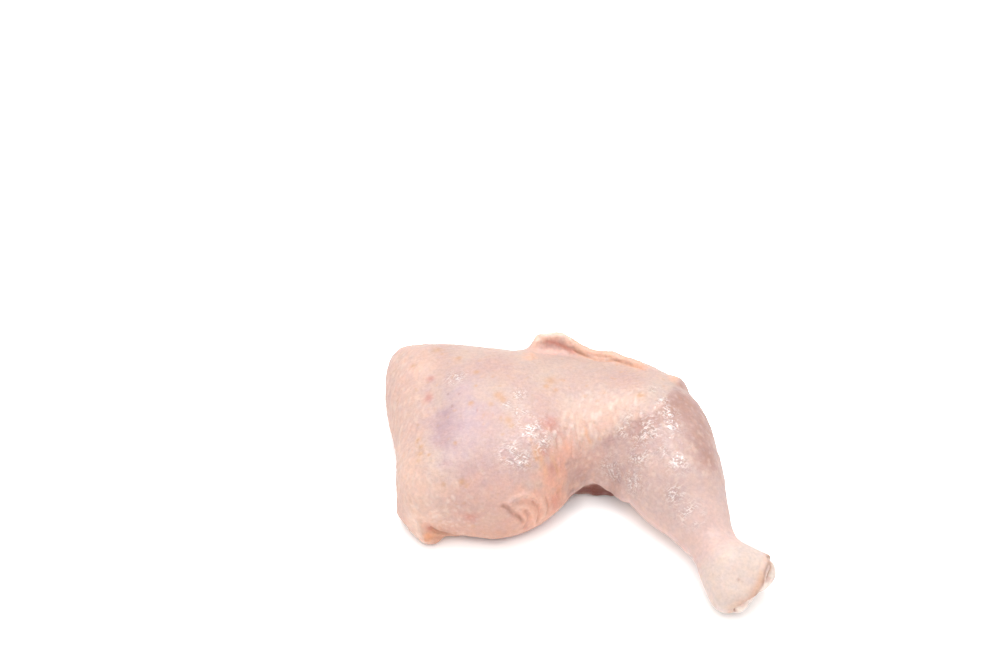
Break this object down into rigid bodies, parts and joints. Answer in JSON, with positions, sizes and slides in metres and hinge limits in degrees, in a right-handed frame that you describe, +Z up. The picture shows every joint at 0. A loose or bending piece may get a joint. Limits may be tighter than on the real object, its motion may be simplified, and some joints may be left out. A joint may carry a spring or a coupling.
{
  "type": "raw chicken leg quarter",
  "caption": "Raw chicken leg quarter, skin side up: a broad thigh and a bent drumstick in one piece, a rolled flap of loose skin behind, and the end of the shin bone showing at the cut hock.",
  "frame": {"origin": "on the table, under the middle of the piece as seen from above", "axes": "+Z up, the shown skin side; -X towards the cut hip end; +Y towards the back edge with the rolled skin; the drumstick points towards -Y and +X"},
  "size_m": [0.16, 0.1262, 0.0442],
  "materials": {
    "skin": "moist raw chicken skin, pale pink and cream",
    "gristle": "wet gristle over bone, pinkish white"
  },
  "bodies": {
    "root": {"leg_quarter": "skin", "shin_bone_end": "gristle"}
  },
  "joints": []
}
